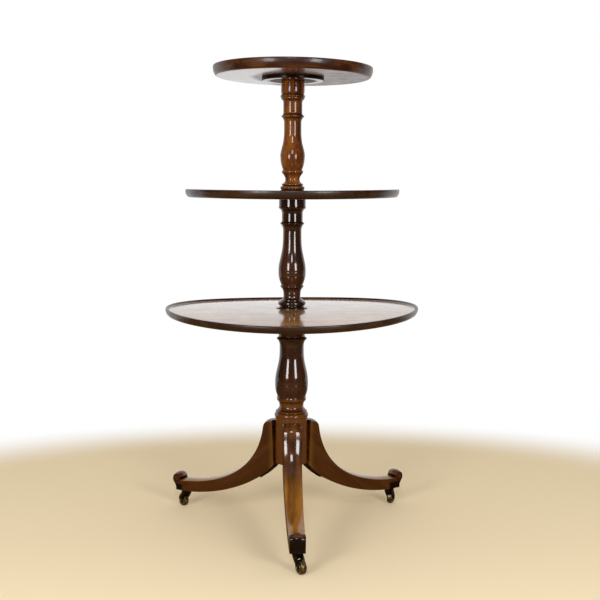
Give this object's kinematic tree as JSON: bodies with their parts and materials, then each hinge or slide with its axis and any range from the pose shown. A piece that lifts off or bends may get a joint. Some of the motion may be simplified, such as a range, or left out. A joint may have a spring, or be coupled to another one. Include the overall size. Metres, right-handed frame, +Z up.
{
  "type": "dumbwaiter table",
  "caption": "Dumbwaiter table with dished round tiers that revolve on a turned column, over splayed scroll-toed legs on brass castors.",
  "frame": {"origin": "on the floor, at the middle of the whole footprint; the column's axis stands 20 mm behind it", "axes": "+Z is up along the column, -Y is the front, where one leg points, and +X is to the right seen from the front"},
  "size_m": [0.637, 0.6763, 1.167],
  "materials": {
    "dark_mahogany": "french-polished, deep red-brown, glossy",
    "golden_mahogany": "french-polished, faded golden brown, glossy",
    "tier_mahogany": "french-polished, long grain, glossy",
    "leg_mahogany": "french-polished, dark red-brown, glossy",
    "brace_iron": "wrought, dull and dark",
    "castor_brass": "cast, darkened with age",
    "castor_steel": "turned, dull",
    "screw_steel": "slotted, dull"
  },
  "bodies": {
    "root": {"lower_column": "dark_mahogany", "middle_column": "dark_mahogany", "upper_column": "golden_mahogany", "leg_front": "leg_mahogany", "leg_right": "leg_mahogany", "leg_left": "leg_mahogany", "leg_brace": "brace_iron", "leg_brace_screw_centre": "screw_steel", "leg_brace_screw_front": "screw_steel", "leg_brace_screw_right": "screw_steel", "leg_brace_screw_left": "screw_steel", "castor_plate_front": "castor_brass", "castor_pivot_front": "castor_steel", "castor_screw_front_1": "screw_steel", "castor_screw_front_2": "screw_steel", "castor_screw_front_3": "screw_steel", "castor_plate_right": "castor_brass", "castor_pivot_right": "castor_steel", "castor_screw_right_1": "screw_steel", "castor_screw_right_2": "screw_steel", "castor_screw_right_3": "screw_steel", "castor_plate_left": "castor_brass", "castor_pivot_left": "castor_steel", "castor_screw_left_1": "screw_steel", "castor_screw_left_2": "screw_steel", "castor_screw_left_3": "screw_steel"},
    "lower_tier": {"lower_tier": "tier_mahogany"},
    "middle_tier": {"middle_tier": "tier_mahogany"},
    "upper_tier": {"upper_tier": "tier_mahogany", "upper_tier_boss": "golden_mahogany", "boss_screw_1": "screw_steel", "boss_screw_2": "screw_steel", "boss_screw_3": "screw_steel", "boss_screw_4": "screw_steel"},
    "castor_swivel_front": {"castor_horn_front": "castor_brass", "castor_axle_front": "castor_steel"},
    "castor_roll_front": {"castor_wheel_front": "castor_brass"},
    "castor_swivel_right": {"castor_horn_right": "castor_brass", "castor_axle_right": "castor_steel"},
    "castor_roll_right": {"castor_wheel_right": "castor_brass"},
    "castor_swivel_left": {"castor_horn_left": "castor_brass", "castor_axle_left": "castor_steel"},
    "castor_roll_left": {"castor_wheel_left": "castor_brass"}
  },
  "joints": [
    {"name": "lower_tier_turn", "type": "hinge", "parent": "root", "child": "lower_tier", "pos_m": [0, 0.02, 0.56], "axis": [0, 0, 1], "continuous": true},
    {"name": "middle_tier_turn", "type": "hinge", "parent": "root", "child": "middle_tier", "pos_m": [0, 0.02, 0.854], "axis": [0, 0, 1], "continuous": true},
    {"name": "upper_tier_turn", "type": "hinge", "parent": "root", "child": "upper_tier", "pos_m": [0, 0.02, 1.142], "axis": [0, 0, 1], "continuous": true},
    {"name": "castor_swivel_front_turn", "type": "hinge", "parent": "root", "child": "castor_swivel_front", "pos_m": [0, -0.3017, 0.042], "axis": [0, 0, 1], "continuous": true},
    {"name": "castor_roll_front_turn", "type": "hinge", "parent": "castor_swivel_front", "child": "castor_roll_front", "pos_m": [0.00798, -0.31671, 0.01667], "axis": [0.8829, 0.4695, 0], "continuous": true},
    {"name": "castor_swivel_right_turn", "type": "hinge", "parent": "root", "child": "castor_swivel_right", "pos_m": [0.2786, 0.18085, 0.042], "axis": [0, 0, 1], "continuous": true},
    {"name": "castor_roll_right_turn", "type": "hinge", "parent": "castor_swivel_right", "child": "castor_roll_right", "pos_m": [0.28658, 0.19586, 0.01667], "axis": [-0.8829, 0.4695, 0], "continuous": true},
    {"name": "castor_swivel_left_turn", "type": "hinge", "parent": "root", "child": "castor_swivel_left", "pos_m": [-0.2786, 0.18085, 0.042], "axis": [0, 0, 1], "continuous": true},
    {"name": "castor_roll_left_turn", "type": "hinge", "parent": "castor_swivel_left", "child": "castor_roll_left", "pos_m": [-0.28835, 0.19478, 0.01667], "axis": [-0.8192, -0.5736, 0], "continuous": true}
  ]
}
